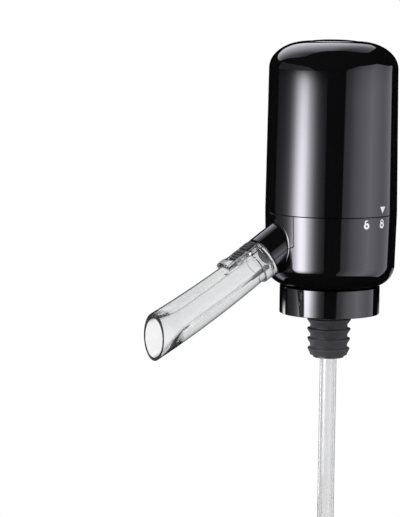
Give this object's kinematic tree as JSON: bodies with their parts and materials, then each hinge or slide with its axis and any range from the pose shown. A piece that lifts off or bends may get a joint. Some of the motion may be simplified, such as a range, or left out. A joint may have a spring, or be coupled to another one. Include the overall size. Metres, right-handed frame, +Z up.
{
  "type": "electric wine aerator",
  "caption": "Battery-driven wine aerator: a black domed drum with a rubber bottle stopper, a skirt collar, a telescopic intake tube and a clear slanted spout held by a latch.",
  "frame": {"origin": "centre of the bottle's rim plane, on the axis of the body, stopper and tube, where the rubber seat ring rests on the rim", "axes": "+Z up along the body's axis towards the button, -X towards the spout's mouth, +Y to the body's side"},
  "size_m": [0.1117, 0.0556, 0.2692],
  "materials": {
    "black_gloss_abs": "polished black moulding",
    "black_matt_abs": "fine matt black moulding",
    "clear_acrylic": "polished clear moulding",
    "grey_nylon": "plain grey moulding",
    "dark_silicone": "soft dark silicone",
    "clear_silicone": "milky clear hose",
    "bright_steel": "bright zinc",
    "motor_shell": "bright drawn can",
    "nickel_plate": "nickel-plated spring strip",
    "battery_jacket": "plain printed jacket",
    "board_laminate": "green lacquer",
    "red_insulation": "extruded",
    "black_insulation": "extruded"
  },
  "bodies": {
    "base": {"lower_housing": "black_gloss_abs", "neck_cover": "black_gloss_abs", "bottle_collar": "black_gloss_abs", "collar_screw_1": "bright_steel", "collar_screw_2": "bright_steel", "collar_screw_3": "bright_steel", "port_block": "black_matt_abs", "bottle_stopper": "dark_silicone", "wine_hose": "clear_silicone", "air_hose": "clear_silicone", "intake_tube_upper": "clear_acrylic", "tube_gland": "black_matt_abs", "tube_seal": "dark_silicone", "aerator_nozzle": "black_matt_abs", "spout": "clear_acrylic", "spout_seal": "dark_silicone", "latch_pin": "bright_steel", "battery_carrier": "black_matt_abs", "carrier_screw_1": "bright_steel", "carrier_screw_2": "bright_steel", "carrier_screw_3": "bright_steel", "battery_1": "battery_jacket", "battery_2": "battery_jacket", "battery_3": "battery_jacket", "battery_4": "battery_jacket", "battery_5": "battery_jacket", "battery_6": "battery_jacket", "contact_lower_1": "nickel_plate", "contact_lower_2": "nickel_plate", "contact_lower_3": "nickel_plate", "contact_upper_1": "nickel_plate", "contact_upper_2": "nickel_plate", "contact_upper_3": "nickel_plate", "contact_upper_4": "nickel_plate", "pump_cap": "black_matt_abs", "pump_diaphragm": "dark_silicone", "pump_housing": "grey_nylon", "motor_can": "motor_shell", "motor_end_cap": "black_matt_abs", "motor_sleeve": "dark_silicone", "circuit_board": "board_laminate", "board_screw_1": "bright_steel", "board_screw_2": "bright_steel", "tact_switch": "black_matt_abs", "control_chip": "black_matt_abs", "lead_red": "red_insulation", "lead_black": "black_insulation"},
    "rotor": {"motor_shaft": "bright_steel", "crank_wheel": "grey_nylon"},
    "top_cover": {"upper_shell": "black_gloss_abs", "button_guide": "black_matt_abs", "button_spring": "bright_steel"},
    "button": {"power_button": "black_gloss_abs"},
    "latch": {"spout_latch": "black_matt_abs", "latch_spring": "bright_steel"},
    "intake_lower": {"intake_tube_lower": "clear_acrylic", "tube_foot": "black_matt_abs"}
  },
  "joints": [
    {"name": "motor_spin", "type": "hinge", "parent": "base", "child": "rotor", "pos_m": [0, 0, 0.0464], "axis": [0, 0, 1], "continuous": true},
    {"name": "cover_twist", "type": "hinge", "parent": "base", "child": "top_cover", "pos_m": [0, 0, 0.035], "axis": [0, 0, 1], "range_deg": [-18, 0]},
    {"name": "button_press", "type": "slide", "parent": "top_cover", "child": "button", "axis": [0, 0, -1], "range_m": [0, 0.001], "stiffness_N_per_m": 1600, "springref_m": -0.0005, "deforming": ["button_spring"]},
    {"name": "latch_press", "type": "hinge", "parent": "base", "child": "latch", "pos_m": [-0.0417, 0, 0.0193], "axis": [0, -1, 0], "range_deg": [0, 4], "stiffness_Nm_per_rad": 0.2, "springref_deg": -2.86},
    {"name": "tube_slide", "type": "slide", "parent": "base", "child": "intake_lower", "axis": [0, 0, -1], "range_m": [0, 0.12]}
  ]
}
